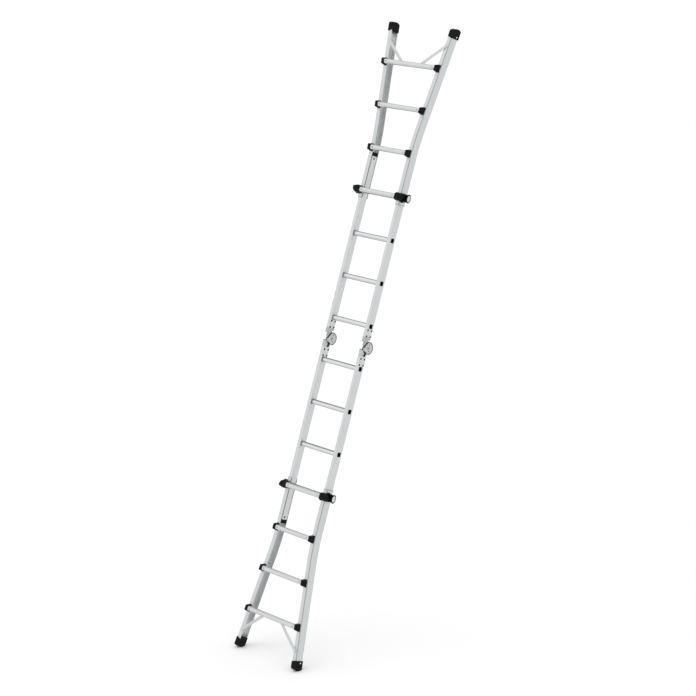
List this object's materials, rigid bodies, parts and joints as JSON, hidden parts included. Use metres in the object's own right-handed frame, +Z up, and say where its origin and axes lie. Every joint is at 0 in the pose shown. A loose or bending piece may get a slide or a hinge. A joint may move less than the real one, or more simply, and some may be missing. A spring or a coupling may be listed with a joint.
{
  "type": "multi position ladder",
  "caption": "Telescopic folding ladder in two hinged halves, with tube inner sections that slide in flared channel outer sections and are held by sprung side locks.",
  "frame": {"origin": "on the floor, midway between the two lower shoes' soles", "axes": "+X to the ladder's right as its climber sees it, +Y towards the wall that it leans against, +Z up"},
  "size_m": [0.588, 1.4452, 3.9368],
  "materials": {
    "stile": "satin extruded",
    "rung": "satin extruded",
    "hinge": "smooth cast",
    "pin": "zinc plated",
    "plastic": "moulded black",
    "shoe": "moulded black"
  },
  "bodies": {
    "lower_outer": {"lower_lock_rung": "rung", "lower_outer_rung_2": "rung", "lower_outer_rung_3": "rung", "lower_braced_end_rung": "rung", "lower_outer_stile_left": "stile", "lower_shoe_left": "shoe", "lower_lock_housing_left": "plastic", "lower_rung_bracket_2_left": "plastic", "lower_rung_bracket_3_left": "plastic", "lower_rung_bracket_4_left": "plastic", "lower_outer_stile_right": "stile", "lower_shoe_right": "shoe", "lower_lock_housing_right": "plastic", "lower_rung_bracket_2_right": "plastic", "lower_rung_bracket_3_right": "plastic", "lower_rung_bracket_4_right": "plastic"},
    "lower_inner": {"lower_inner_rung_1": "rung", "lower_inner_rung_2": "rung", "lower_inner_rung_3": "rung", "lower_inner_rung_4": "rung", "lower_inner_stile_left": "stile", "lower_glide_left": "plastic", "lower_inner_stile_right": "stile", "lower_glide_right": "plastic", "hinge_fork_left": "hinge", "hinge_fork_right": "hinge", "hinge_pin_left": "pin", "hinge_pin_right": "pin"},
    "upper_inner": {"upper_inner_rung_1": "rung", "upper_inner_rung_2": "rung", "upper_inner_rung_3": "rung", "upper_inner_rung_4": "rung", "upper_inner_stile_left": "stile", "upper_glide_left": "plastic", "upper_inner_stile_right": "stile", "upper_glide_right": "plastic", "hinge_tongue_left": "hinge", "hinge_tongue_right": "hinge"},
    "upper_outer": {"upper_lock_rung": "rung", "upper_outer_rung_2": "rung", "upper_outer_rung_3": "rung", "upper_braced_end_rung": "rung", "upper_outer_stile_left": "stile", "upper_shoe_left": "shoe", "upper_lock_housing_left": "plastic", "upper_rung_bracket_2_left": "plastic", "upper_rung_bracket_3_left": "plastic", "upper_rung_bracket_4_left": "plastic", "upper_outer_stile_right": "stile", "upper_shoe_right": "shoe", "upper_lock_housing_right": "plastic", "upper_rung_bracket_2_right": "plastic", "upper_rung_bracket_3_right": "plastic", "upper_rung_bracket_4_right": "plastic"},
    "lower_lock_left": {"lower_lock_knob_left": "plastic"},
    "lower_lock_right": {"lower_lock_knob_right": "plastic"},
    "upper_lock_left": {"upper_lock_knob_left": "plastic"},
    "upper_lock_right": {"upper_lock_knob_right": "plastic"},
    "lever_left": {"hinge_lever_left": "plastic"},
    "lever_right": {"hinge_lever_right": "plastic"}
  },
  "joints": [
    {"name": "lower_telescope", "type": "slide", "parent": "lower_outer", "child": "lower_inner", "axis": [0, -0.3338, -0.9426], "range_m": [0, 0.84]},
    {"name": "fold", "type": "hinge", "parent": "lower_inner", "child": "upper_inner", "pos_m": [0, 0.70758, 1.95826], "axis": [-1, 0, 0], "range_deg": [0, 179]},
    {"name": "upper_telescope", "type": "slide", "parent": "upper_inner", "child": "upper_outer", "axis": [0, -0.3338, -0.9426], "range_m": [0, 0.84]},
    {"name": "lower_lock_pull_left", "type": "slide", "parent": "lower_outer", "child": "lower_lock_left", "axis": [-1, 0, 0], "range_m": [0, 0.014], "stiffness_N_per_m": 700, "springref_m": -0.01},
    {"name": "lower_lock_pull_right", "type": "slide", "parent": "lower_outer", "child": "lower_lock_right", "axis": [1, 0, 0], "range_m": [0, 0.014], "stiffness_N_per_m": 700, "springref_m": -0.01},
    {"name": "upper_lock_pull_left", "type": "slide", "parent": "upper_outer", "child": "upper_lock_left", "axis": [-1, 0, 0], "range_m": [0, 0.014], "stiffness_N_per_m": 700, "springref_m": -0.01},
    {"name": "upper_lock_pull_right", "type": "slide", "parent": "upper_outer", "child": "upper_lock_right", "axis": [1, 0, 0], "range_m": [0, 0.014], "stiffness_N_per_m": 700, "springref_m": -0.01},
    {"name": "lever_press_left", "type": "hinge", "parent": "lower_inner", "child": "lever_left", "pos_m": [-0.182, 0.67015, 1.92536], "axis": [1, 0, 0], "range_deg": [0, 20], "stiffness_Nm_per_rad": 0.02, "springref_deg": -17.19},
    {"name": "lever_press_right", "type": "hinge", "parent": "lower_inner", "child": "lever_right", "pos_m": [0.182, 0.67015, 1.92536], "axis": [1, 0, 0], "range_deg": [0, 20], "stiffness_Nm_per_rad": 0.02, "springref_deg": -17.19}
  ]
}
